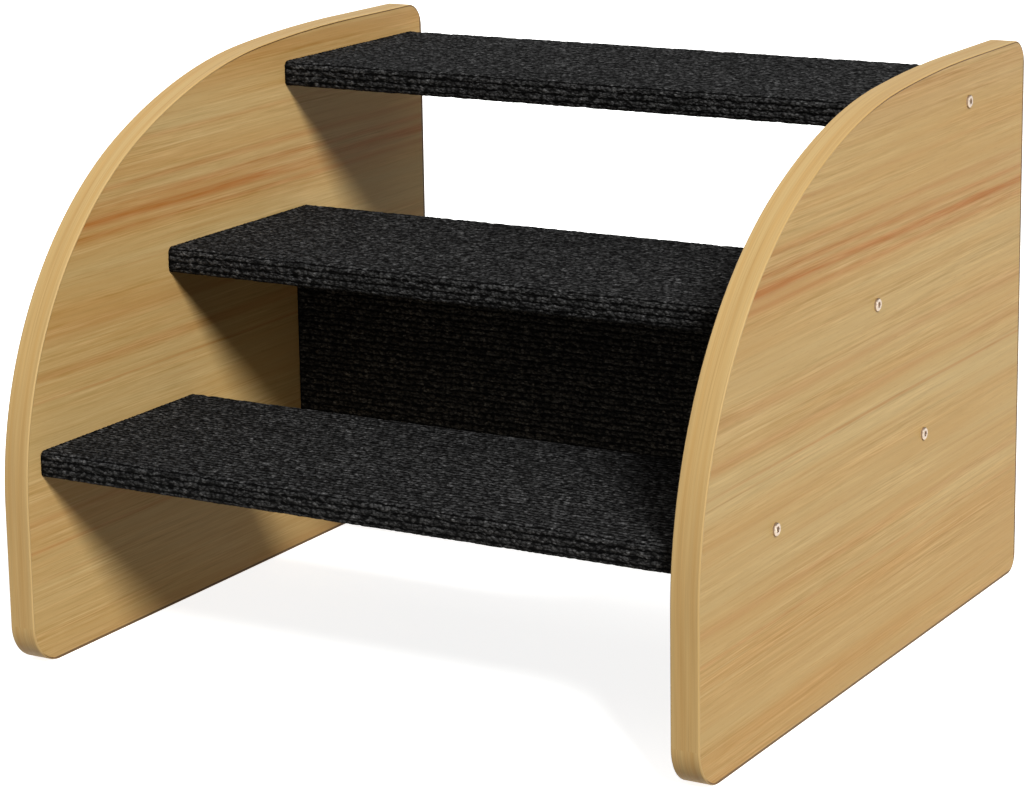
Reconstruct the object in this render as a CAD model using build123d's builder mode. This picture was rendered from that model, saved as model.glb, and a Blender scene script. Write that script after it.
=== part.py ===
from build123d import *
from math import cos, radians, sin
import os

# Pet stairs: two quarter-round side panels, three carpeted treads and a carpeted riser between them.
# Millimetres. X runs from the left panel to the right one, Y from front to back, Z up from the floor.
# The origin lies on the floor, under the middle of the stairs.

# Overall size
stair_width = 400.0  # over both panels, without the screw heads
stair_depth = 393.0
stair_height = 301.0

# Side panels and their edge bands
panel_thickness = 15.0
band_thickness = 1.0
band_edge_radius = 0.7  # eased arris between the band and the panel's face
front_corner_radius = 21.5  # at the floor
rear_corner_radius = 10.0  # at the floor
top_corner_radius = 14.0
front_foot_height = 85.6  # the front edge is upright up to here, then climbs in three tangent arcs
front_arc_angle = 63.0
shoulder_arc_angle = 22.0
shoulder_arc_radius = 315.0
top_level_length = 75.0  # from the last arc to the back

# Treads and riser, each a board in a carpet sleeve
tread_names = ["bottom_tread", "middle_tread", "top_tread"]
tread_depth = 137.0  # over the carpet
first_tread_top = 114.4  # from the floor to the top of the carpet
last_tread_drop = 15.8  # from the top of the panels to the top of the carpet
first_tread_inset = 12.0  # from the front of the panels to the carpet's nose
last_tread_inset = 10.8  # from the back of the carpet to the back of the panels
riser_height = 147.0  # over the carpet
board_thickness = 10.0
board_edge_radius = 1.0
carpet_thickness = 2.2
glue_line = 0.1  # between a board and its carpet
carpet_end_clearance = 0.3  # between the carpet's cut end and the panel
riser_clearance = 0.3  # between the riser's carpet and the middle tread's
seam_gap = 1.0  # between the two edges of the carpet, on the hidden face

# Socket screws, one through each panel into each end of a board
screw_head_diameter = 6.5
screw_head_height = 1.8
screw_head_sunk = 0.5  # how far the head's cylinder goes into the panel
screw_head_edge = 0.35
screw_cone_height = 1.2
screw_neck_diameter = 4.8
screw_thread_diameter = 5.0
screw_core_diameter = 3.6
screw_length = 50.0  # under the head's cylinder
screw_thread_length = 32.0
screw_thread_pitch = 2.6
screw_tip_length = 3.0
socket_width = 3.0  # across flats
socket_depth = 1.5
screw_clearance = 0.1  # on the radius, in the panel and in the board
screw_end_clearance = 2.0  # left empty past the tip

# Fluted dowels, two beside each screw
dowel_diameter = 6.0
dowel_length = 25.0
dowel_in_panel = 9.5
dowel_offset = 42.0  # from the screw, along the board
dowel_clearance = 0.1  # on the radius
dowel_end_clearance = 0.8
dowel_chamfer = 0.35
flute_count = 8
flute_depth = 0.35
flute_width = 0.9

# Staples, one row on either side of each carpet's seam
staple_crown = 10.0
staple_leg = 8.0
staple_wire = 0.9
staple_clearance = 0.15
staples_per_row = 6
staple_end_inset = 29.7  # from the carpet's cut end to the middle of the row's last staple
staple_from_seam = 9.0

cut_overrun = 1.0  # how far a cut runs past the face that it starts from

# Places that follow from the sizes above
panel_outer = stair_width / 2
panel_inner = panel_outer - panel_thickness
inner_face = Plane.YZ.offset(panel_inner)
front = -stair_depth / 2
back = stair_depth / 2
head_seat = panel_outer - screw_head_sunk
cover_thickness = glue_line + carpet_thickness
slab_thickness = board_thickness + 2 * cover_thickness
carpet_end = panel_inner - carpet_end_clearance
staple_spacing = 2 * (carpet_end - staple_end_inset) / (staples_per_row - 1)
row_distance = 2 * staple_from_seam

# The front and crown arcs take the rise and the reach that the shoulder arc leaves them.
crown_arc_angle = 90 - front_arc_angle - shoulder_arc_angle
steep = radians(90 - front_arc_angle)
shallow = radians(crown_arc_angle)
reach_left = stair_depth - top_level_length - shoulder_arc_radius * (sin(steep) - sin(shallow))
rise_left = stair_height - front_foot_height - shoulder_arc_radius * (cos(shallow) - cos(steep))
balance = cos(steep) * sin(shallow) - (1 - sin(steep)) * (1 - cos(shallow))
front_arc_radius = (rise_left * sin(shallow) - reach_left * (1 - cos(shallow))) / balance
crown_arc_radius = (reach_left * cos(steep) - rise_left * (1 - sin(steep))) / balance

# The treads are evenly spaced between the first and the last.
steps_up = len(tread_names) - 1
step_rise = (stair_height - last_tread_drop - first_tread_top) / steps_up
step_going = (stair_depth - last_tread_inset - tread_depth - first_tread_inset) / steps_up

# A slab is a board with its carpet. Centres and sizes are in Y and Z, over the carpet.
slabs = {}
for step, tread in enumerate(tread_names):
    nose = front + first_tread_inset + step * step_going
    top = first_tread_top + step * step_rise
    centre = (nose + tread_depth / 2, top - slab_thickness / 2)
    slabs[tread] = {"centre": centre, "size": (tread_depth, slab_thickness)}

# The riser stands under the middle tread, flush with its back.
tread_y, tread_z = slabs["middle_tread"]["centre"]
riser_y = tread_y + tread_depth / 2 - slab_thickness / 2
riser_z = tread_z - slab_thickness / 2 - riser_clearance - riser_height / 2
slabs["riser"] = {"centre": (riser_y, riser_z), "size": (slab_thickness, riser_height)}

# The seam lies on the face that doesn't show: under a tread, and behind the riser.
# The dowels lie on either side of the screw, along the slab.
for name, slab in slabs.items():
    y, z = slab["centre"]
    if name == "riser":
        seam_origin = (0, y + slab_thickness / 2, z)
        slab["seam_face"] = Plane(origin=seam_origin, x_dir=(1, 0, 0), z_dir=(0, 1, 0))
        slab["dowels"] = [(y, z - dowel_offset), (y, z + dowel_offset)]
    else:
        seam_origin = (0, y, z - slab_thickness / 2)
        slab["seam_face"] = Plane(origin=seam_origin, x_dir=(1, 0, 0), z_dir=(0, 0, -1))
        slab["dowels"] = [(y - dowel_offset, z), (y + dowel_offset, z)]

screw_places = [(head_seat, *slab["centre"]) for slab in slabs.values()]
dowel_middle = panel_inner + dowel_in_panel - dowel_length / 2
dowel_places = [(dowel_middle, y, z) for slab in slabs.values() for y, z in slab["dowels"]]

# One screw along X: the head's cylinder starts at zero and the shank points to -X.
# The thread is drawn as rings, one for each turn.
head_radius = screw_head_diameter / 2
core_radius = screw_core_diameter / 2
thread_start = screw_length - screw_thread_length - screw_tip_length
thread_outline = [(-thread_start, core_radius)]
for turn in range(int(screw_thread_length / screw_thread_pitch)):
    root = thread_start + turn * screw_thread_pitch
    thread_outline.append((-root - screw_thread_pitch / 2, screw_thread_diameter / 2))
    thread_outline.append((-root - screw_thread_pitch, core_radius))

with BuildPart() as screw:
    with BuildSketch(Plane.XY):
        with BuildLine():
            Polyline(
                (screw_head_height, 0),
                (screw_head_height, head_radius - screw_head_edge),
                (screw_head_height - screw_head_edge, head_radius),
                (0, head_radius),
                (-screw_cone_height, screw_neck_diameter / 2),
                (-thread_start, screw_neck_diameter / 2),
                *thread_outline,
                (screw_tip_length - screw_length, core_radius),
                (-screw_length, 0),
                close=True,
            )
        make_face()
    revolve(axis=Axis.X)
    with BuildSketch(Plane.YZ.offset(screw_head_height)):
        RegularPolygon(radius=socket_width / 2, side_count=6, major_radius=False)
    extrude(amount=-socket_depth, mode=Mode.SUBTRACT)

# The room that a screw takes: a bore for the shank and a seat for the cone and the head
bore_radius = screw_thread_diameter / 2 + screw_clearance
seat_radius = head_radius + screw_clearance
bore_end = -screw_length - screw_end_clearance
with BuildPart() as screw_room:
    with BuildSketch(Plane.XY):
        with BuildLine():
            Polyline(
                (screw_head_height, 0),
                (screw_head_height, seat_radius),
                (0, seat_radius),
                (-screw_cone_height, bore_radius),
                (bore_end, bore_radius),
                (bore_end, 0),
                close=True,
            )
        make_face()
    revolve(axis=Axis.X)

# One dowel along X, centred, and the room that it takes
with BuildPart() as dowel:
    with BuildSketch(Plane.YZ.offset(-dowel_length / 2)):
        Circle(dowel_diameter / 2)
    extrude(amount=dowel_length)
    chamfer(dowel.faces().filter_by(Axis.X).edges(), length=dowel_chamfer)
    with BuildSketch(Plane.YZ.offset(-dowel_length / 2)):
        with PolarLocations(dowel_diameter / 2, flute_count):
            Rectangle(2 * flute_depth, flute_width)
    extrude(amount=dowel_length, mode=Mode.SUBTRACT)

with BuildPart() as dowel_room:
    with BuildSketch(Plane.YZ.offset(-dowel_length / 2 - dowel_end_clearance)):
        Circle(dowel_diameter / 2 + dowel_clearance)
    extrude(amount=dowel_length + 2 * dowel_end_clearance)

# One staple, its crown lying on the XY plane and its legs pointing down, and the room that the legs take
with BuildPart() as staple:
    with BuildSketch(Plane.XZ.offset(-staple_wire / 2)):
        with Locations((0, (staple_wire - staple_leg) / 2)):
            Rectangle(staple_crown, staple_leg + staple_wire)
        with Locations((0, -staple_leg / 2)):
            Rectangle(staple_crown - 2 * staple_wire, staple_leg, mode=Mode.SUBTRACT)
    extrude(amount=staple_wire)

leg_distance = staple_crown - staple_wire
leg_room = staple_wire + 2 * staple_clearance
with BuildPart() as staple_room:
    with BuildSketch(Plane.XY.offset(-staple_leg - staple_clearance)):
        with GridLocations(leg_distance, 0, 2, 1):
            Rectangle(leg_room, leg_room)
    extrude(amount=staple_leg + staple_clearance + cut_overrun)

# The panel's outline over its edge band, Y to the right and Z up
with BuildSketch() as outline:
    with BuildLine():
        front_arc = JernArc((front, front_foot_height), (0, 1), front_arc_radius, -front_arc_angle)
        shoulder_arc = JernArc(front_arc @ 1, front_arc % 1, shoulder_arc_radius, -shoulder_arc_angle)
        crown_arc = JernArc(shoulder_arc @ 1, shoulder_arc % 1, crown_arc_radius, -crown_arc_angle)
        top_edge = Line(crown_arc @ 1, (back - top_corner_radius, stair_height))
        top_corner = JernArc(top_edge @ 1, (1, 0), top_corner_radius, -90)
        rear_edge = Line(top_corner @ 1, (back, rear_corner_radius))
        rear_corner = JernArc(rear_edge @ 1, (0, -1), rear_corner_radius, -90)
        bottom_edge = Line(rear_corner @ 1, (front + front_corner_radius, 0))
        front_corner = JernArc(bottom_edge @ 1, (-1, 0), front_corner_radius, -90)
        Line(front_corner @ 1, front_arc @ 0)
    make_face()

# Right side panel: stepped bores for the screws and blind holes for the dowels
with BuildPart() as side_panel_right:
    with BuildSketch(inner_face):
        add(outline.sketch)
        offset(amount=-band_thickness, mode=Mode.REPLACE)
    extrude(amount=panel_thickness)
    with Locations(*screw_places):
        add(screw_room.part, mode=Mode.SUBTRACT)
    with Locations(*dowel_places):
        add(dowel_room.part, mode=Mode.SUBTRACT)

# Its edge band: one strip all the way round, with its outer edges eased
with BuildPart() as edge_band_right:
    with BuildSketch(inner_face):
        add(outline.sketch)
    extrude(amount=panel_thickness)
    fillet(edge_band_right.faces().filter_by(Axis.X).edges(), radius=band_edge_radius)
    with BuildSketch(inner_face):
        add(outline.sketch)
        offset(amount=-band_thickness, mode=Mode.REPLACE)
    extrude(amount=panel_thickness, mode=Mode.SUBTRACT)

# The left side is the right one mirrored.
with BuildPart() as side_panel_left:
    mirror(side_panel_right.part, about=Plane.YZ)

with BuildPart() as edge_band_left:
    mirror(edge_band_right.part, about=Plane.YZ)

pieces = {
    "side_panel_right": side_panel_right.part,
    "side_panel_left": side_panel_left.part,
    "edge_band_right": edge_band_right.part,
    "edge_band_left": edge_band_left.part,
}

# Every slab: its board, its carpet, and the screws, dowels and staples that hold them
for name, slab in slabs.items():
    size_y, size_z = slab["size"]
    board_y = size_y - 2 * cover_thickness
    board_z = size_z - 2 * cover_thickness
    middle = Plane(origin=(0, *slab["centre"]), x_dir=(0, 1, 0), z_dir=(1, 0, 0))

    with BuildPart() as board:
        with BuildSketch(middle):
            RectangleRounded(board_y, board_z, board_edge_radius)
        extrude(amount=panel_inner)
        with Locations((head_seat, *slab["centre"])):
            add(screw_room.part, mode=Mode.SUBTRACT)
        with Locations(*[(dowel_middle, *point) for point in slab["dowels"]]):
            add(dowel_room.part, mode=Mode.SUBTRACT)
        mirror(about=Plane.YZ)
        with Locations(slab["seam_face"]):
            with GridLocations(staple_spacing, row_distance, staples_per_row, 2):
                add(staple_room.part, mode=Mode.SUBTRACT)

    with BuildPart() as carpet:
        with BuildSketch(middle):
            RectangleRounded(size_y, size_z, board_edge_radius + cover_thickness)
            RectangleRounded(
                board_y + 2 * glue_line,
                board_z + 2 * glue_line,
                board_edge_radius + glue_line,
                mode=Mode.SUBTRACT,
            )
        extrude(amount=carpet_end, both=True)
        with BuildSketch(slab["seam_face"].offset(cut_overrun)):
            Rectangle(2 * panel_inner, seam_gap)
        extrude(amount=-carpet_thickness - glue_line / 2 - cut_overrun, mode=Mode.SUBTRACT)
        with Locations(slab["seam_face"]):
            with GridLocations(staple_spacing, row_distance, staples_per_row, 2):
                add(staple_room.part, mode=Mode.SUBTRACT)

    with BuildPart() as screws:
        with Locations((head_seat, *slab["centre"])):
            add(screw.part)
        mirror(about=Plane.YZ)

    with BuildPart() as dowels:
        with Locations(*[(dowel_middle, *point) for point in slab["dowels"]]):
            add(dowel.part)
        mirror(about=Plane.YZ)

    with BuildPart() as staples:
        with Locations(slab["seam_face"]):
            with GridLocations(staple_spacing, row_distance, staples_per_row, 2):
                add(staple.part)

    pieces[f"{name}_board"] = board.part
    pieces[f"{name}_carpet"] = carpet.part
    pieces[f"{name}_screws"] = screws.part
    pieces[f"{name}_dowels"] = dowels.part
    pieces[f"{name}_staples"] = staples.part

os.makedirs("parts", exist_ok=True)
for name, piece in pieces.items():
    piece.label = name
    export_step(piece, f"parts/{name}.step")
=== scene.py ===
import math
import random

import bmesh
import bpy
from mathutils import Matrix, Vector, noise


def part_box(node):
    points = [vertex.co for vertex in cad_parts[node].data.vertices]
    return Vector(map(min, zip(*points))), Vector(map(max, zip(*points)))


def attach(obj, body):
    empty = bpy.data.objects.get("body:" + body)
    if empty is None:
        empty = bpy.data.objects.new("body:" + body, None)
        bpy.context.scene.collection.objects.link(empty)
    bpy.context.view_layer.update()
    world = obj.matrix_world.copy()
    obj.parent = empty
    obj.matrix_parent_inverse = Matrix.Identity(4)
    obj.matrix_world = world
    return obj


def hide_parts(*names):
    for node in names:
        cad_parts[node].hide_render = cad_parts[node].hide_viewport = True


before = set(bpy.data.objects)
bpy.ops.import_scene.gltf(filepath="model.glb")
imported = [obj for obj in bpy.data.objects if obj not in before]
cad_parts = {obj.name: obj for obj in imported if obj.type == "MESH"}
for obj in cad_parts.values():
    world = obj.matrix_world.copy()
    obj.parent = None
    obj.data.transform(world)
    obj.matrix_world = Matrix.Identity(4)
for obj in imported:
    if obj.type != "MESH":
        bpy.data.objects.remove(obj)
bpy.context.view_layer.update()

# Pet stairs: two oak laminate sides, three carpeted treads and a carpeted riser between them
mm = 0.001
body = "root"
scene = bpy.context.scene
print("frame loaded:", len(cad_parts), "nodes")


def linear(hexColour):
    # sRGB hex to linear, as Blender's sockets want it
    channels = [int(hexColour[i : i + 2], 16) / 255 for i in (1, 3, 5)]
    return (*[c / 12.92 if c <= 0.04045 else ((c + 0.055) / 1.055) ** 2.4 for c in channels], 1.0)


def addNode(tree, kind, inputs=(), out=0, stops=(), **settings):
    # inputs by socket, or a list of them in the sockets' order; a ramp has stops; gives the output asked for
    new = tree.nodes.new("ShaderNode" + kind)
    for key, value in settings.items():
        setattr(new, key, value)
    for socket, value in inputs.items() if isinstance(inputs, dict) else enumerate(inputs):
        if isinstance(value, bpy.types.NodeSocket):
            tree.links.new(value, new.inputs[socket])
        else:
            new.inputs[socket].default_value = linear(value) if isinstance(value, str) else value
    if stops:
        elements = new.color_ramp.elements
        while len(elements) < len(stops):
            elements.new(0.5)
        for element, (place, colour) in zip(elements, stops):
            element.position = place
            element.color = linear(colour) if isinstance(colour, str) else (colour, colour, colour, 1)
    return new.outputs[out] if new.outputs else None


def newMaterial(name, values):
    material = bpy.data.materials.new(name)
    material.use_nodes = True
    tree = material.node_tree
    shader = tree.nodes["Principled BSDF"]
    for socket, value in values.items():
        shader.inputs[socket].default_value = value
    return material, tree, shader


def finishPiece(bm, name, material, replaced):
    mesh = bpy.data.meshes.new(name)
    bm.to_mesh(mesh)
    bm.free()
    mesh.materials.append(material)
    piece = bpy.data.objects.new(name, mesh)
    scene.collection.objects.link(piece)
    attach(piece, body)
    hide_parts(*replaced)
    return piece


laminate = {
    # from the yellow to the reddish parts of the print: red hardly changes, green and blue do
    "base": [(0.36, "#bb9f6b"), (0.455, "#ba9b65"), (0.555, "#b8955d"), (0.67, "#b68e54")],
    "darkLine": "#a57b44",
    "lightLine": "#cfb582",
    "redLine": "#aa7037",
    "lineTone": (0.48, 0.35, 0.22),  # how far a thin line moves red, green and blue
    "pore": "#8f6d40",
    # a dark line at the joint with the edge band: partly the joint itself, partly painted shade of the band's
    # rounded edge
    "jointAndShade": "#46362a",
    "jointShadeAt": [("Y", (193.8, 194.6)), ("Z", (1.9, 1.5))],  # mm: where the line begins, where it's full
    "jointShadeStrength": 0.8,
    "roughness": (0.44, 0.58),
    "gloss": 0.10,  # the resin is matt and its pore breaks up the reflection
    "bump": (0.22, 0.05),  # strength, depth in mm
    # streaks: mm across the grain and along it, detail and how rough it is, where in the noise they're taken
    "broad": (30, 620, 1, 0.5, (0, 0, 0)),
    "medium": (8, 300, 3, 0.6, (9, 4, 2)),
    "darkLines": (2.3, 220, 3, 0.55, (1, 6, 3)),
    "lightLines": (1.3, 150, 2, 0.5, (3.1, 7.7, 1.9)),
    "fine": (1.3, 120, 3, 0.6, (0, 0, 0)),
    "hair": (0.7, 26, 2, 0.5, (2, 8, 5)),
    "zones": (11, 190, 2, 0.5, (7, 3, 6)),  # where the thin lines gather
    "hatch": (0.45, 7, 1, 0.5, (0, 0, 0)),  # real pores are 0.1 to 0.2 mm wide: drawn at 0.45 mm to show
    "patches": (5, 150, 3, 0.6, (5, 2, 8)),  # where a red streak fades and comes back
    "mediumShare": 0.38,  # of the tone, beside the broad streaks
    "hairShare": 0.42,  # of the thin lines, beside the fine ones
    # how strongly a streak shows where its noise has this value
    "darkShows": [(0.26, 0.4), (0.42, 0.0), (1.0, 0.0)],
    "lightShows": [(0.0, 0.0), (0.54, 0.0), (0.76, 0.26)],
    "poreShows": [(0.0, 0.0), (0.62, 0.0), (0.85, 0.3)],
    # from one value of the noise to another, what it gives at the first and at the second
    "gather": (0.36, 0.64, 0.4, 1.6),
    "fade": (0.3, 0.55, 0.25, 1.0),
    "lift": (0.3, 0.7, -0.16, 0.16),
    "through": 60,  # mm, how soon the print changes across the board, so that both faces share it
    "sway": (1.5, (300, 180, 30)),  # mm that a line wanders, and over which lengths in x, y and z
    # red streaks at the same heights on both sides: middle in mm, half width in mm, strength
    "redStreaks": [
        (3, 5, 0.22), (62, 1.6, 0.45), (77, 4, 0.3), (139, 1.3, 0.55), (152, 5, 0.36), (172, 6, 0.32),
        (217, 2.6, 0.4), (224.5, 4.2, 0.75), (226, 20, 0.34), (232, 3.2, 0.4), (241, 3, 0.45), (262, 2, 0.3),
        (288, 14, 0.22), (297, 7, 0.25),
    ],
}


def oakMelamine():
    # Melamine board: a printed oak paper under clear resin, pressed with a fine pore. Even, warm, half matt.
    p = laminate
    material, tree, shader = newMaterial("oakMelamine", {"IOR": 1.5, "Specular IOR Level": p["gloss"]})
    where = addNode(tree, "TexCoord", out="Object")
    inMm = addNode(tree, "VectorMath", [where, (1000, 1000, 1000)], operation="MULTIPLY")
    wander, lengths = p["sway"]
    swayAt = addNode(tree, "Mapping", {"Vector": inMm, "Scale": [1 / length for length in lengths]})
    sway = addNode(tree, "TexNoise", {"Vector": swayAt, "Scale": 1.0, "Detail": 2.0})
    swayMm = addNode(tree, "MapRange", [sway, 0.0, 1.0, -wander, wander])
    shift = addNode(tree, "CombineXYZ", {"Z": swayMm})
    grain = addNode(tree, "VectorMath", [inMm, shift], operation="ADD")
    noises = {}
    for kind in ("broad", "medium", "darkLines", "lightLines", "fine", "hair", "zones", "hatch", "patches"):
        across, along, detail, rough, at = p[kind]
        scale = (1 / p["through"], 1 / along, 1 / across)
        flat = addNode(tree, "Mapping", {"Vector": grain, "Scale": scale, "Location": at})
        noises[kind] = addNode(
            tree, "TexNoise", {"Vector": flat, "Scale": 1.0, "Detail": detail, "Roughness": rough}
        )
    tone = addNode(
        tree, "Mix", {0: p["mediumShare"], 2: noises["broad"], 3: noises["medium"]}, data_type="FLOAT"
    )
    gather = addNode(tree, "MapRange", [noises["zones"], *p["gather"]])
    dark = addNode(tree, "ValToRGB", [noises["darkLines"]], stops=p["darkShows"])
    light = addNode(tree, "ValToRGB", [noises["lightLines"]], stops=p["lightShows"])
    light = addNode(tree, "Math", [light, gather], operation="MULTIPLY", use_clamp=True)
    # each red streak fades to nothing at its half width, and along its way
    height = addNode(tree, "SeparateXYZ", [grain], out="Z")
    red = 0.0
    for middle, half, strength in p["redStreaks"]:
        away = addNode(tree, "Math", [height, middle], operation="SUBTRACT")
        away = addNode(tree, "Math", [away], operation="ABSOLUTE")
        streak = addNode(tree, "MapRange", [away, 0.0, half, strength, 0.0], interpolation_type="SMOOTHSTEP")
        red = addNode(tree, "Math", [red, streak], operation="ADD")
    fade = addNode(tree, "MapRange", [noises["patches"], *p["fade"]])
    red = addNode(tree, "Math", [red, fade], operation="MULTIPLY", use_clamp=True)
    colour = addNode(tree, "ValToRGB", [tone], stops=p["base"])
    for share, over in ((dark, p["darkLine"]), (light, p["lightLine"]), (red, p["redLine"])):
        colour = addNode(tree, "Mix", {0: share, 6: colour, 7: over}, out=2, data_type="RGBA")
    # the thin lines, stronger where they gather, then the pores
    lines = addNode(tree, "Mix", {0: p["hairShare"], 2: noises["fine"], 3: noises["hair"]}, data_type="FLOAT")
    lift = addNode(tree, "MapRange", [lines, *p["lift"]])
    lift = addNode(tree, "Math", [lift, gather], operation="MULTIPLY")
    shade = addNode(tree, "VectorMath", {0: p["lineTone"], "Scale": lift}, operation="SCALE")
    colour = addNode(tree, "VectorMath", [colour, shade], operation="ADD")
    pore = addNode(tree, "ValToRGB", [noises["hatch"]], stops=p["poreShows"])
    colour = addNode(tree, "Mix", {0: pore, 6: colour, 7: p["pore"]}, out=2, data_type="RGBA")
    # the joint with the edge band, a dark line down the back and under the foot, drawn wider so that it
    # shows: partly the joint itself, partly painted shade of the band's rounded edge
    place = addNode(tree, "SeparateXYZ", [inMm]).node.outputs
    jointAndShade = 0.0
    for axis, (start, full) in p["jointShadeAt"]:
        ramp = [place[axis], start, full, 0.0, p["jointShadeStrength"]]
        line = addNode(tree, "MapRange", ramp, interpolation_type="SMOOTHSTEP")
        jointAndShade = addNode(tree, "Math", [jointAndShade, line], operation="MAXIMUM")
    colour = addNode(tree, "Mix", {0: jointAndShade, 6: colour, 7: p["jointAndShade"]}, out=2, data_type="RGBA")
    tree.links.new(colour, shader.inputs["Base Color"])
    rough = addNode(tree, "MapRange", [noises["fine"], 0.0, 1.0, *p["roughness"]])
    tree.links.new(rough, shader.inputs["Roughness"])
    relief = addNode(tree, "Math", [lines, pore], operation="SUBTRACT")
    strength, depth = p["bump"]
    bump = addNode(tree, "Bump", {"Height": relief, "Strength": strength, "Distance": depth * mm})
    tree.links.new(bump, shader.inputs["Normal"])
    return material


edging = {
    "base": [(0.30, "#bda06c"), (0.48, "#bb9a64"), (0.62, "#b7935b"), (0.75, "#b28a51")],
    "line": "#a07d4b",
    # the glue line over the top, and painted shade of the rounded edge down the back and under the foot
    "glue": "#563618",
    "paleLine": "#c6ac79",
    "roughness": 0.5,
    "gloss": 0.12,
    "bump": (0.2, 0.04),  # strength, depth in mm
    # lines: mm across the strip and along it, detail
    "tones": (4.5, 260, 3),
    "thin": (1.2, 140, 2),
    "fine": (0.7, 60, 3),
    "patches": (3, 90, 2),  # where the pale print shows
    "thinShows": [(0.28, 0.5), (0.42, 0.0), (1.0, 0.0)],
    "lift": (0.3, 0.7, 0.91, 1.08),
    "paleFrom": (3.2, 6.4),  # mm from the strip's middle line, where its print turns paler
    "paleStrength": 0.4,
    "glueShadeAt": (7.45, 7.75),  # mm from the middle line, the joint with the board, drawn wider so that it shows: the glue line over the top, painted shade of the rounded edge down the back and under the foot
    "glueShadeStrength": 0.85,
    "glueShadeShows": [("Y", (-45, 25)), ("Z", (9, 3))],  # mm: further back than this, and lower down than this
    "profileWidth": 16.38,  # mm, along the strip's profile from one joint to the other
    # the strip's outline over the sides: every length in mm, every angle in degrees
    "frontFoot": 85.6,  # the front edge is upright up to here, then climbs in three tangent arcs
    "frontArc": (63, 64),  # angle, steps
    "shoulderArc": (315.0, 22, 32),  # radius, angle, steps
    "crownSteps": 24,
    "topLevel": 75.0,  # from the last arc to the back
    "topCorner": (14.0, 18),  # radius, steps
    "rearCorner": (10.0, 14),
    "frontCorner": (21.5, 24),
    "thickness": 1.0,
    "arris": 0.7,
    "arrisSteps": 4,
    "hold": 0.25,  # a support row beside the arris keeps the flats flat
    "merge": 0.02,
}


def oakEdging():
    # ABS edge band, printed to match the board and trimmed with a small radius: smooth, even, half matt.
    p = edging
    values = {"Roughness": p["roughness"], "IOR": 1.52, "Specular IOR Level": p["gloss"]}
    material, tree, shader = newMaterial("oakEdging", values)
    flat = addNode(tree, "UVMap", uv_map="strip")
    inMm = addNode(tree, "VectorMath", [flat, (1000, 1000, 0)], operation="MULTIPLY")
    noises = {}
    for kind in ("tones", "thin", "fine", "patches"):
        across, along, detail = p[kind]
        at = addNode(tree, "Mapping", {"Vector": inMm, "Scale": (1 / along, 1 / across, 1)})
        noises[kind] = addNode(tree, "TexNoise", {"Vector": at, "Scale": 1.0, "Detail": detail})
    colour = addNode(tree, "ValToRGB", [noises["tones"]], stops=p["base"])
    thin = addNode(tree, "ValToRGB", [noises["thin"]], stops=p["thinShows"])
    colour = addNode(tree, "Mix", {0: thin, 6: colour, 7: p["line"]}, out=2, data_type="RGBA")
    lift = addNode(tree, "MapRange", [noises["fine"], *p["lift"]])
    colour = addNode(tree, "VectorMath", {0: colour, "Scale": lift}, operation="SCALE")
    across = addNode(tree, "SeparateXYZ", [inMm], out="Y")
    fromMiddle = addNode(tree, "Math", [across, p["profileWidth"] / 2], operation="SUBTRACT")
    fromMiddle = addNode(tree, "Math", [fromMiddle], operation="ABSOLUTE")
    ramp = [fromMiddle, *p["paleFrom"], 0.0, p["paleStrength"]]
    pale = addNode(tree, "MapRange", ramp, interpolation_type="SMOOTHSTEP")
    pale = addNode(tree, "Math", [pale, noises["patches"]], operation="MULTIPLY")
    colour = addNode(tree, "Mix", {0: pale, 6: colour, 7: p["paleLine"]}, out=2, data_type="RGBA")
    # the joint shows as a thin dark line over the top, down the back and under the foot: the glue line over
    # the top, painted shade of the rounded edge down the back and under the foot
    place = addNode(tree, "TexCoord", out="Object")
    place = addNode(tree, "VectorMath", [place, (1000, 1000, 1000)], operation="MULTIPLY")
    place = addNode(tree, "SeparateXYZ", [place]).node.outputs
    shows = 0.0
    for axis, (start, full) in p["glueShadeShows"]:
        ramp = [place[axis], start, full, 0.0, 1.0]
        here = addNode(tree, "MapRange", ramp, interpolation_type="SMOOTHSTEP")
        shows = addNode(tree, "Math", [shows, here], operation="MAXIMUM")
    ramp = [fromMiddle, *p["glueShadeAt"], 0.0, p["glueShadeStrength"]]
    glue = addNode(tree, "MapRange", ramp, interpolation_type="SMOOTHSTEP")
    glue = addNode(tree, "Math", [glue, shows], operation="MULTIPLY")
    colour = addNode(tree, "Mix", {0: glue, 6: colour, 7: p["glue"]}, out=2, data_type="RGBA")
    tree.links.new(colour, shader.inputs["Base Color"])
    strength, depth = p["bump"]
    bump = addNode(tree, "Bump", {"Height": noises["fine"], "Strength": strength, "Distance": depth * mm})
    tree.links.new(bump, shader.inputs["Normal"])
    return material


def outlineArcs(rise, reach):
    # three tangent arcs from upright to level, each with radius, angle and steps: the front and crown arcs
    # take the rise and the reach that the shoulder arc leaves them
    p = edging
    frontAngle, frontSteps = p["frontArc"]
    shoulder, shoulderAngle, shoulderSteps = p["shoulderArc"]
    shoulder *= mm
    crownAngle = 90 - frontAngle - shoulderAngle
    steep, shallow = math.radians(90 - frontAngle), math.radians(crownAngle)
    rise -= shoulder * (math.cos(shallow) - math.cos(steep))
    reach -= shoulder * (math.sin(steep) - math.sin(shallow))
    balance = math.cos(steep) * math.sin(shallow) - (1 - math.sin(steep)) * (1 - math.cos(shallow))
    front = (rise * math.sin(shallow) - reach * (1 - math.cos(shallow))) / balance
    crown = (reach * math.cos(steep) - rise * (1 - math.sin(steep))) / balance
    return [
        (front, frontAngle, frontSteps),
        (shoulder, shoulderAngle, shoulderSteps),
        (crown, crownAngle, p["crownSteps"]),
    ]


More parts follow.
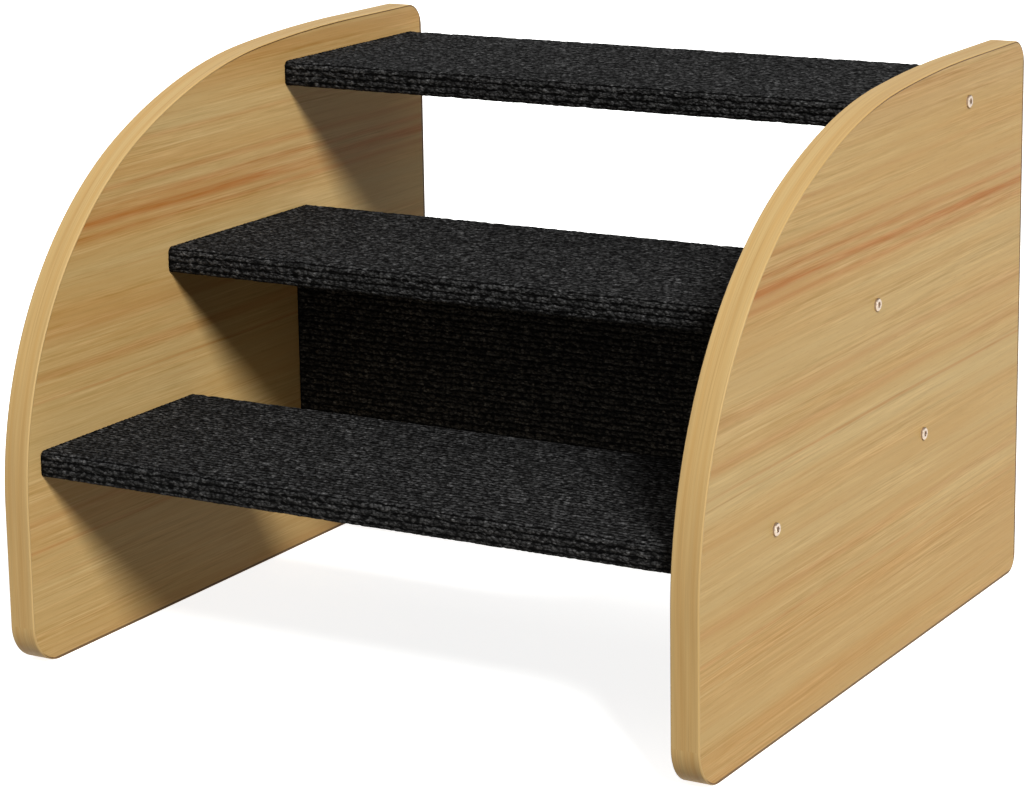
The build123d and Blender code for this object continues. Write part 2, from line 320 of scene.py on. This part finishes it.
def growEdgeBand(name, node, mirrored, material):
    # one closed profile, pushed along the straights and spun round the arcs, back to where it began
    p = edging
    low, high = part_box(node)
    inner, outer = (high.x, low.x) if mirrored else (low.x, high.x)
    toOuter = 1 if outer > inner else -1
    front, back = low.y, high.y
    r, t = p["arris"] * mm, p["thickness"] * mm
    # profile points as (x, how far in from the outline, way across the strip)
    points = [(inner, t)]
    for step in range(p["arrisSteps"] + 1):
        turn = math.radians(90 * step / p["arrisSteps"])
        points.append((inner + toOuter * r * (1 - math.cos(turn)), r * (1 - math.sin(turn))))
    hold = (r + p["hold"] * mm) * toOuter
    points.append((inner + hold, 0))
    width = outer - inner
    points += [(inner + width - (x - inner), depth) for x, depth in reversed(points)]
    bm = bmesh.new()
    alongLayer = bm.verts.layers.float.new("along")
    acrossLayer = bm.verts.layers.float.new("across")
    across, before, ring = 0.0, None, []
    startZ = p["frontCorner"][0] * mm
    for x, depth in points:
        vert = bm.verts.new((x, front + depth, startZ))
        if before is not None:
            across += (vert.co - before.co).length
        vert[acrossLayer] = across
        ring.append(vert)
        before = vert
    edges = [bm.edges.new((a, b)) for a, b in zip(ring, ring[1:] + ring[:1])]
    along = 0.0
    place, heading = Vector((0, front, startZ)), 90.0  # where the outline is, and its slope

    def carryOn(made):
        # the new profile's points note how far along they lie; its edges are what grows next
        verts = [g for g in made if isinstance(g, bmesh.types.BMVert)]
        for vert in verts:
            vert[alongLayer] = along
        grown = [g for g in made if isinstance(g, bmesh.types.BMEdge)]
        return verts, [e for e in grown if all(v in verts for v in e.verts)]

    def straight(length):
        nonlocal edges, along, place
        turn = math.radians(heading)
        move = Vector((0, math.cos(turn), math.sin(turn))) * length
        along += length
        place = place + move
        verts, edges = carryOn(bmesh.ops.extrude_edge_only(bm, edges=edges)["geom"])
        bmesh.ops.translate(bm, verts=verts, vec=move)

    def arc(radius, angle, steps):
        # the outline turns clockwise seen from the right: back over the top and down
        nonlocal edges, along, place, heading
        turn = math.radians(heading)
        centre = place + Vector((0, math.sin(turn), -math.cos(turn))) * radius
        for _ in range(steps):
            part = -math.radians(angle / steps)
            along += radius * abs(part)
            spun = bmesh.ops.spin(
                bm, geom=edges, cent=centre, axis=(1, 0, 0), dvec=(0, 0, 0), angle=part, steps=1,
                use_merge=False, use_normal_flip=False, use_duplicate=False,
            )
            _, edges = carryOn(spun["geom_last"])
            place = centre + Matrix.Rotation(part, 3, "X") @ (place - centre)
        heading -= angle

    foot = p["frontFoot"] * mm
    straight(foot - startZ)
    for radius, angle, steps in outlineArcs(high.z - foot, back - front - p["topLevel"] * mm):
        arc(radius, angle, steps)
    corner, steps = p["topCorner"]
    straight(back - corner * mm - place.y)
    arc(corner * mm, 90, steps)
    corner, steps = p["rearCorner"]
    straight(place.z - corner * mm)
    arc(corner * mm, 90, steps)
    corner, steps = p["frontCorner"]
    straight(place.y - front - corner * mm)
    arc(corner * mm, 90, steps)
    print(name, "closes to", [round(1000 * c, 4) for c in place - Vector((0, front, startZ))], "mm")
    uvLayer = bm.loops.layers.uv.new("strip")
    for face in bm.faces:
        face.smooth = True
        for loop in face.loops:
            loop[uvLayer].uv = (loop.vert[alongLayer], loop.vert[acrossLayer])
    bmesh.ops.remove_doubles(bm, verts=bm.verts[:], dist=p["merge"] * mm)
    bmesh.ops.recalc_face_normals(bm, faces=bm.faces[:])
    return finishPiece(bm, name, material, [node])


carpet = {
    # lengths in mm
    "ribPitch": 3.66,  # between two grooves
    "ribDepth": 0.75,
    "across": [0.0, 0.2, 0.5, 0.8],  # where the rows of points lie on one rib
    "profile": [1.0, 0.32, 0.0, 0.32],  # how deep each row lies, as a share of ribDepth
    "step": 1.32,  # between points along a rib
    "pileJitter": 0.25,  # how far a loop stands down from the top of the rib
    "fewShort": 1.5,  # the higher, the fewer loops stand that far down
    "grooveJitter": 0.0625,  # the same at the bottom of a groove
    "sideJitter": 0.25,
    "alongJitter": 0.3,
    "sway": 0.8,  # how far a whole rib wanders sideways
    "dip": 0.5,  # how far the rib sinks where its loops are short
    "shut": (0.85, 0.9, 0.3),  # share of its depth that a groove keeps: middle, swing, least
    "deepest": 0.87,
    "pileLight": 1.06,  # at the top of a loop
    # slow noise along a rib: per metre along it, per rib, per slab, start
    "swayNoise": (150, 3.7, 9.1, 0),
    "shutNoise": (110, 5.3, 4.7, 30),
    "dipNoise": (210, 7.9, 2.3, 60),
    "pressed": 2.5,  # from a cut end, where the pile is pressed flat by the side
    "pressedDepth": 0.35,  # share of its depth that is left there
    "sidePanelShade": (0.1, 1.5),  # painted shade along each side panel: share of its light at the very end, and how soon it comes back
    "seam": 1.0,
    "thickness": 2.2,
    "corner": 3.3,  # over the carpet, round the board's edges
    "endShare": 0.4999,  # of the flat cut's width from its middle: any point further out is on a cut end
    "merge": 0.001,  # the backing's points and the cut ends' are one at less than this
    "seed": 31,
    "loop": (2.2, 1.15),  # one loop of yarn along the rib and across it
    "loosen": 0.45,  # per mm, how soon the loops stray to another side
    "strand": (2.8, 0.45),  # the twisted strands in it, along and across
    "strandRelief": 0.5,  # how high they stand, beside the loop's 1
    "uneven": 3.6,  # along a groove, how soon it widens or closes
    "length": 4.4,  # of one yarn before its shade changes
    "yarnShare": 0.5,  # of the tone, beside each loop's own
    "yarnApart": 7.31,  # far enough in the noise for two ribs to have nothing in common
    "yarn": [(0.0, "#151515"), (0.3, "#292929"), (0.6, "#3c3c3c"), (0.85, "#4c4c4c"), (1.0, "#5c5c5c")],
    "paleYarn": "#7e7e7d",
    # painted shade deep in a groove
    "grooveShade": "#040404",
    "grooveHalf": (0.50, 1.05),  # from a groove's middle: painted shade, black up to the first, open from the second
    # from one value to another, what it gives at the first and at the second
    "yarnTone": (0.34, 0.66, 0.0, 1.0),
    "strandTone": (0.3, 0.7, 0.45, 1.4),
    "paleShare": (0.86, 1.1, 0.0, 0.35),
    "gap": (0.34, 0.64, 1.0, 0.15),  # painted shade between two loops
    "closing": (0.3, 0.7, -0.6, 0.9),  # how far a groove narrows or widens
    "deep": (0.0, 0.5, 0.12, 1.0),  # painted shade: light that reaches the foot of the pile
    "roughness": 1.0,
    "gloss": 0.06,
    "bump": (1.0, 0.7),  # strength, depth
}


def charcoalLoop():
    # Ribbed loop carpet in black and charcoal yarn, looped in rows: matt, its paler loops catching the light.
    p = carpet
    values = {"Roughness": p["roughness"], "IOR": 1.46, "Specular IOR Level": p["gloss"]}
    material, tree, shader = newMaterial("charcoalLoop", values)
    flat = addNode(tree, "UVMap", uv_map="cut")
    inMm = addNode(tree, "VectorMath", [flat, (1000, 1000, 0)], operation="MULTIPLY")
    # loops, loosened a little so that no two are alike
    twist = addNode(tree, "TexNoise", {"Vector": inMm, "Scale": p["loosen"], "Detail": 2.0}, out="Color")
    loose = addNode(tree, "VectorMath", [twist, inMm], operation="ADD")
    along, across = p["loop"]
    cell = addNode(tree, "Mapping", {"Vector": loose, "Scale": (1 / along, 1 / across, 1)})
    cells = {"Vector": cell, "Scale": 1.0}
    fromLoop = addNode(tree, "TexVoronoi", cells, feature="F1", voronoi_dimensions="2D")
    loopTone = addNode(tree, "SeparateColor", [fromLoop.node.outputs["Color"]])
    along, across = p["strand"]
    strandAt = addNode(tree, "Mapping", {"Vector": inMm, "Scale": (1 / along, 1 / across, 1)})
    strands = addNode(tree, "TexNoise", {"Vector": strandAt, "Scale": 1.0, "Detail": 3.0, "Roughness": 0.7})
    # each rib carries its own yarns, which change shade every few millimetres
    place = addNode(tree, "SeparateXYZ", [inMm]).node.outputs
    ribPlace = addNode(tree, "Math", [place["Y"], p["ribPitch"]], operation="DIVIDE")
    ribNumber = addNode(tree, "Math", [ribPlace], operation="FLOOR")
    ribShift = addNode(tree, "Math", [ribNumber, p["yarnApart"]], operation="MULTIPLY")
    yarnPlace = addNode(tree, "Math", [place["X"], p["length"]], operation="DIVIDE")
    yarnAt = addNode(tree, "CombineXYZ", [yarnPlace, ribShift])
    yarns = {"Vector": yarnAt, "Scale": 1.0, "Detail": 2.0, "Roughness": 0.6}
    yarnTone = addNode(tree, "TexNoise", yarns, noise_dimensions="2D")
    yarnTone = addNode(tree, "MapRange", [yarnTone, *p["yarnTone"]])
    strandTone = addNode(tree, "MapRange", [strands, *p["strandTone"]])
    tone = addNode(tree, "Mix", {0: p["yarnShare"], 2: loopTone, 3: yarnTone}, data_type="FLOAT")
    tone = addNode(tree, "Math", [tone, strandTone], operation="MULTIPLY")
    pale = addNode(tree, "MapRange", [tone, *p["paleShare"]])
    colour = addNode(tree, "ValToRGB", [tone], stops=p["yarn"])
    colour = addNode(tree, "Mix", {0: pale, 6: colour, 7: p["paleYarn"]}, out=2, data_type="RGBA")
    # how far from the nearest groove: painted shade down there, and the groove closes up here and there
    inRib = addNode(tree, "Math", [ribPlace], operation="FRACT")
    fromTop = addNode(tree, "Math", [inRib, 0.5], operation="SUBTRACT")
    fromTop = addNode(tree, "Math", [fromTop], operation="ABSOLUTE")
    fromGroove = addNode(tree, "Math", [0.5, fromTop], operation="SUBTRACT")
    fromGroove = addNode(tree, "Math", [fromGroove, p["ribPitch"]], operation="MULTIPLY")
    grooveAt = addNode(tree, "Mapping", {"Vector": inMm, "Scale": (1 / p["uneven"], 1 / p["ribPitch"], 1)})
    uneven = addNode(tree, "TexNoise", {"Vector": grooveAt, "Scale": 1.0, "Detail": 3.0})
    closing = addNode(tree, "MapRange", [uneven, *p["closing"]])
    fromGroove = addNode(tree, "Math", [fromGroove, closing], operation="ADD")
    lit = addNode(tree, "MapRange", [fromGroove, *p["grooveHalf"]])
    # painted shade between the loops and at the foot of the pile too
    pile = addNode(tree, "Attribute", out="Fac", attribute_name="pile")
    for shade in (
        addNode(tree, "MapRange", [fromLoop, *p["gap"]]),
        addNode(tree, "MapRange", [pile, *p["deep"]]),
    ):
        lit = addNode(tree, "Math", [lit, shade], operation="MULTIPLY")
    colour = addNode(tree, "Mix", {0: lit, 6: p["grooveShade"], 7: colour}, out=2, data_type="RGBA")
    tree.links.new(colour, shader.inputs["Base Color"])
    relief = addNode(tree, "Math", [1.0, fromLoop], operation="SUBTRACT")
    relief = addNode(tree, "Math", [strands, p["strandRelief"], relief], operation="MULTIPLY_ADD")
    strength, depth = p["bump"]
    bump = addNode(tree, "Bump", {"Height": relief, "Strength": strength, "Distance": depth * mm})
    tree.links.new(bump, shader.inputs["Normal"])
    return material


def wrapCarpet(name, slab, material, seed):
    # a flat cut of carpet, ribbed from end to end, wrapped round its board with its seam on the hidden face
    p = carpet
    node = slab + "_carpet"
    low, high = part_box(node)
    upright = high.z - low.z > high.y - low.y
    centre = (low + high) / 2
    depth, thick = (high.z - low.z, high.y - low.y) if upright else (high.y - low.y, high.z - low.z)
    width = high.x - low.x
    r = p["corner"] * mm
    quarter = math.pi / 2 * r
    flatA, flatB = depth - 2 * r, thick - 2 * r
    whole = 2 * (flatA + flatB) + 4 * quarter
    length = whole - p["seam"] * mm
    # the way round the slab, from the seam: kind, length, start or centre of the turn, heading or first angle
    runs = [
        ("line", flatA / 2, (0, -thick / 2), (-1, 0)),
        ("turn", quarter, (-flatA / 2, -flatB / 2), -90),
        ("line", flatB, (-depth / 2, -flatB / 2), (0, 1)),
        ("turn", quarter, (-flatA / 2, flatB / 2), 180),
        ("line", flatA, (-flatA / 2, thick / 2), (1, 0)),
        ("turn", quarter, (flatA / 2, flatB / 2), 90),
        ("line", flatB, (depth / 2, flatB / 2), (0, -1)),
        ("turn", quarter, (flatA / 2, -flatB / 2), 0),
        ("line", flatA / 2, (flatA / 2, -thick / 2), (-1, 0)),
    ]

    def onSlab(way, proud):
        for run in runs:
            kind, size, at, aim = run
            if way <= size or run is runs[-1]:
                break
            way -= size
        if kind == "line":
            a = at[0] + aim[0] * way - aim[1] * proud
            b = at[1] + aim[1] * way + aim[0] * proud
        else:
            angle = math.radians(aim) - way / r
            a = at[0] + (r + proud) * math.cos(angle)
            b = at[1] + (r + proud) * math.sin(angle)
        if upright:
            return centre.y - b, centre.z + a
        return centre.y + a, centre.z + b

    ribs = round(length / (p["ribPitch"] * mm))
    rows = len(p["across"])
    around, lengthwise = ribs * rows, round(width / (p["step"] * mm))

    def onCut(vert):
        # the vertex's column, its rib and row on it, and its place on the flat cut
        column = round((vert.co.y + 0.5) * around)
        rib, row = divmod(column, rows)
        return column, rib, row, vert.co.x * width, (rib + p["across"][row]) / ribs * length

    def slow(kind, x, rib):
        perMetre, perRib, perSlab, begin = p[kind]
        return noise.noise(Vector((x * perMetre, rib * perRib, seed * perSlab + begin)))

    def atEnd(vert):
        return abs(vert.co.x) > p["endShare"]

    # both sides of the cut start as a grid of 1 x 1
    bm = bmesh.new()
    uvLayer = bm.loops.layers.uv.new("cut")
    # the pile attribute carries painted shade: darker deeper in the pile and at the cut ends by the side
    # panels
    pileShadeLayer = bm.verts.layers.float.new("pile")
    bmesh.ops.create_grid(bm, x_segments=lengthwise, y_segments=around, size=0.5)
    pileSide = bm.verts[:]
    # the cut ends go down from the pile to the backing
    ends = [e for e in bm.edges if e.is_boundary and all(atEnd(v) for v in e.verts)]
    bmesh.ops.extrude_edge_only(bm, edges=ends)
    bmesh.ops.create_grid(bm, x_segments=1, y_segments=around, size=0.5)
    backing = bm.verts[:][len(pileSide):]
    for face in bm.faces:
        face.smooth = True
        for loop in face.loops:
            loop[uvLayer].uv = (loop.vert.co.x * width, (loop.vert.co.y + 0.5) * ribs * p["ribPitch"] * mm)
    draw = random.Random(p["seed"] + seed)
    start = p["seam"] * mm / 2
    middle, swing, least = p["shut"]
    darkest, clearing = p["sidePanelShade"]
    for vert in pileSide:
        column, rib, row, x, s = onCut(vert)
        down = p["profile"][row] * p["ribDepth"]
        side = draw.uniform(-1, 1) * p["sideJitter"] * mm
        short = draw.random() ** p["fewShort"]
        sway = slow("swayNoise", x, rib) * p["sway"] * mm
        # the groove closes up here and there, and short loops let the rib sink
        shut = max(least, min(1.0, middle + swing * slow("shutNoise", x, rib)))
        dip = max(0.0, slow("dipNoise", x, rib)) * p["dip"]
        if 0 < column < around:
            s += side + sway
            if row:
                down = down + short * p["pileJitter"] + dip
            else:
                down = down * shut + short * p["grooveJitter"]
            if not atEnd(vert):
                x = max(-width / 2, min(width / 2, x + draw.uniform(-1, 1) * p["alongJitter"] * mm))
        down = min(down, p["deepest"])
        fromEnd = (width / 2 - abs(x)) / (p["pressed"] * mm)
        flat = p["pressedDepth"] + (1 - p["pressedDepth"]) * min(1.0, fromEnd)
        # painted shade: a dark line along each side panel, where the pile is pressed flat against it
        vert[pileShadeLayer] = (p["pileLight"] - down / p["deepest"]) * min(1.0, darkest + clearing * fromEnd)
        y, z = onSlab(s + start, -down * flat * mm)
        vert.co = (x, y, z)
    for vert in backing:
        column, rib, row, x, s = onCut(vert)
        y, z = onSlab(s + start, -p["thickness"] * mm)
        vert.co = (x, y, z)
    bmesh.ops.remove_doubles(bm, verts=backing, dist=p["merge"] * mm)
    # close the two edges at the seam
    bmesh.ops.holes_fill(bm, edges=[e for e in bm.edges if e.is_boundary], sides=0)
    bmesh.ops.recalc_face_normals(bm, faces=bm.faces[:])
    thickness = 2 * bm.calc_volume() / sum(f.calc_area() for f in bm.faces) / mm
    openEdges = sum(not e.is_manifold for e in bm.edges)
    print(name, "faces", len(bm.faces), "open edges", openEdges, "mean thickness", round(thickness, 2), "mm")
    piece = finishPiece(bm, name, material, [node])
    return piece


plain = {
    # colours by the pattern's value, its scale per metre along x, y and z, the noise's detail or None for
    # chips, and the bump's strength and depth in mm
    "steel": ([(0.35, "#b3a393"), (0.65, "#c9b9a9")], (900, 900, 900), 3, (0.15, 0.03)),
    "wire": ([(0.3, "#8f9093"), (0.7, "#b9babc")], (300, 5000, 5000), 2, (0.2, 0.02)),
    "dowel": ([(0.32, "#a97c52"), (0.45, "#c79d72"), (0.7, "#d8b48c")], (120, 1400, 1400), 3, (0.3, 0.05)),
    "core": ([(0.0, "#7f6240"), (0.4, "#a58760"), (1.0, "#c4a982")], (500, 450, 1100), None, (0.5, 0.2)),
    "steelRoughness": (0.34, 0.54),
}


def plainFinish(tree, shader, kind):
    # one pattern, noise or chips, gives the colour and the relief
    stops, scale, detail, (strength, depth) = plain[kind]
    where = addNode(tree, "TexCoord", out="Object")
    at = addNode(tree, "Mapping", {"Vector": where, "Scale": scale})
    if detail is None:
        pattern = relief = addNode(tree, "TexVoronoi", {"Vector": at, "Scale": 1.0})
        pattern = addNode(tree, "SeparateColor", [relief.node.outputs["Color"]])
    else:
        pattern = relief = addNode(tree, "TexNoise", {"Vector": at, "Scale": 1.0, "Detail": detail})
    tree.links.new(addNode(tree, "ValToRGB", [pattern], stops=stops), shader.inputs["Base Color"])
    bump = addNode(tree, "Bump", {"Height": relief, "Strength": strength, "Distance": depth * mm})
    tree.links.new(bump, shader.inputs["Normal"])
    return pattern


def zincSteel():
    # Yellow-passivated zinc on pressed steel: pale and warm, with a soft broad highlight.
    material, tree, shader = newMaterial("zincSteel", {"Metallic": 1.0})
    blotch = plainFinish(tree, shader, "steel")
    rough = addNode(tree, "MapRange", [blotch, 0.0, 1.0, *plain["steelRoughness"]])
    tree.links.new(rough, shader.inputs["Roughness"])
    return material


def galvanisedWire():
    # Galvanised staple wire, drawn flat: grey, dull, with fine draw lines.
    material, tree, shader = newMaterial("galvanisedWire", {"Metallic": 1.0, "Roughness": 0.42})
    plainFinish(tree, shader, "wire")
    return material


def beechDowel():
    # Beech dowels, turned and fluted: pale pinkish brown with short dark flecks along the grain.
    material, tree, shader = newMaterial("beechDowel", {"Roughness": 0.6, "IOR": 1.5})
    plainFinish(tree, shader, "dowel")
    return material


def particleCore():
    # Raw particle board, pressed from chips: pale brown with darker and lighter chips about 2 mm long.
    material, tree, shader = newMaterial("particleCore", {"Roughness": 0.85, "IOR": 1.45})
    plainFinish(tree, shader, "core")
    return material


def dress(nodeName, material):
    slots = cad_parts[nodeName].data.materials
    if not slots:
        slots.append(material)
    for index in range(len(slots)):
        slots[index] = material


boardFinish, bandFinish, pileFinish = oakMelamine(), oakEdging(), charcoalLoop()
steelFinish, wireFinish, dowelFinish, coreFinish = zincSteel(), galvanisedWire(), beechDowel(), particleCore()
for side in ("right", "left"):
    dress("side_panel_" + side, boardFinish)
    growEdgeBand("edgeBand" + side.title(), "edge_band_" + side, side == "left", bandFinish)
for number, slab in enumerate(("bottom_tread", "middle_tread", "top_tread", "riser")):
    pieceName = "carpet" + "".join(word.title() for word in slab.split("_"))
    wrapCarpet(pieceName, slab, pileFinish, number)
    dress(slab + "_board", coreFinish)
    dress(slab + "_screws", steelFinish)
    dress(slab + "_dowels", dowelFinish)
    dress(slab + "_staples", wireFinish)
print("stairs dressed")


studio = {
    "floorSize": 12.0,  # m
    "floor": [(0.3, "#ecece9"), (0.7, "#eeeeec")],
    "floorRoughness": 0.9,
    "floorGlow": 0.87,  # the paper is lit through from below, so shadows on it stay pale
    "backdrop": 1.0,
    "around": 0.08,  # the dim room
    "below": 0.33,  # what the lit floor throws back up, besides its glow
    "belowColour": "#fff1d9",  # warm, as it has come off the wood
    "horizon": (0.08, -0.08),  # height on the sky: where the light from below begins, where it's full
    "ceiling": 0.58,
    "ceilingEdge": (0.55, 0.85),  # height on the sky, 1 straight up: where it begins, where it's full
    "rearLight": 0.63,  # a broad soft light at the back left
    "rearFrom": (-0.65, 0.65, 0.36),
    "rearEdge": (0.62, 0.95),  # cosine from its middle: where it begins, where it's full
    "keyFrom": (0.60, -0.50, 0.62),
    "keyAngle": 14.0,  # degrees across, as of a large softbox
    "keyPower": 3.83,
}


def layFloor():
    # White studio paper: matt and even, with its colour barely mottled.
    bm = bmesh.new()
    bmesh.ops.create_grid(bm, x_segments=4, y_segments=4, size=studio["floorSize"] / 2)
    mesh = bpy.data.meshes.new("studioFloor")
    bm.to_mesh(mesh)
    bm.free()
    values = {
        "Roughness": studio["floorRoughness"],
        "Emission Color": (1, 1, 1, 1),
        "Emission Strength": studio["floorGlow"],
    }
    material, tree, shader = newMaterial("studioPaper", values)
    where = addNode(tree, "TexCoord", out="Object")
    mottle = addNode(tree, "TexNoise", {"Vector": where, "Scale": 3.0, "Detail": 4.0})
    tree.links.new(addNode(tree, "ValToRGB", [mottle], stops=studio["floor"]), shader.inputs["Base Color"])
    mesh.materials.append(material)
    floor = bpy.data.objects.new("studioFloor", mesh)
    scene.collection.objects.link(floor)
    floor.visible_diffuse = False  # only its glow lights the stairs from below, not its bounce


def lightStudio():
    world = bpy.data.worlds.new("studioWorld")
    world.use_nodes = True
    scene.world = world
    tree = world.node_tree
    tree.nodes.clear()
    way = addNode(tree, "TexCoord", out="Generated")
    height = addNode(tree, "SeparateXYZ", [way], out="Z")
    rearFrom = Vector(studio["rearFrom"]).normalized()
    towards = addNode(tree, "VectorMath", [way, rearFrom], out="Value", operation="DOT_PRODUCT")
    down = addNode(tree, "MapRange", [height, *studio["horizon"], 0.0, 1.0])
    strength = addNode(tree, "MapRange", [down, 0.0, 1.0, studio["around"], studio["below"]])
    for value, edge, top in (
        (height, studio["ceilingEdge"], studio["ceiling"]),
        (towards, studio["rearEdge"], studio["rearLight"]),
    ):
        light = addNode(tree, "MapRange", [value, *edge, 0.0, top], interpolation_type="SMOOTHSTEP")
        strength = addNode(tree, "Math", [strength, light], operation="ADD")
    white = (1, 1, 1, 1)
    tint = addNode(tree, "Mix", {0: down, 6: white, 7: studio["belowColour"]}, out=2, data_type="RGBA")
    lit = addNode(tree, "Background", {"Color": tint, "Strength": strength})
    seen = addNode(tree, "Background", {"Color": white, "Strength": studio["backdrop"]})
    isSeen = addNode(tree, "LightPath", out="Is Camera Ray")
    both = addNode(tree, "MixShader", [isSeen, lit, seen])
    addNode(tree, "OutputWorld", {"Surface": both})
    lamp = bpy.data.lights.new("keyLight", "SUN")
    lamp.angle = math.radians(studio["keyAngle"])
    lamp.energy = studio["keyPower"]
    key = bpy.data.objects.new("keyLight", lamp)
    away = Vector(studio["keyFrom"]).normalized()
    key.rotation_euler = away.to_track_quat("Z", "Y").to_euler()
    scene.collection.objects.link(key)


photoView = {
    "turn": 30.267, "tilt": 12.535, "roll": 0.912,  # degrees
    "place": (827.2, -1434.8, 546.7),  # mm
    "focal": 3201.7,  # pixels of an image 1024 wide
    "shift": -0.1,
    "imageWidth": 1024,
}


def placeCamera():
    p = photoView
    turn, tilt, roll = (math.radians(p[key]) for key in ("turn", "tilt", "roll"))
    right = Vector((math.cos(turn), math.sin(turn), 0))
    ahead = Vector((-math.sin(turn) * math.cos(tilt), math.cos(turn) * math.cos(tilt), -math.sin(tilt)))
    up = right.cross(ahead)
    rolledRight = right * math.cos(roll) - up * math.sin(roll)
    rolledUp = right * math.sin(roll) + up * math.cos(roll)
    lens = bpy.data.cameras.new("photoCamera")
    lens.sensor_width = 36.0
    lens.lens = p["focal"] / p["imageWidth"] * lens.sensor_width
    lens.shift_y = p["shift"]
    camera = bpy.data.objects.new("photoCamera", lens)
    axes = Matrix((rolledRight, rolledUp, -ahead)).transposed().to_4x4()
    camera.matrix_world = Matrix.Translation(Vector(p["place"]) * mm) @ axes
    scene.collection.objects.link(camera)
    scene.camera = camera


layFloor()
lightStudio()
placeCamera()
scene.view_settings.view_transform = "Standard"
print("studio ready")
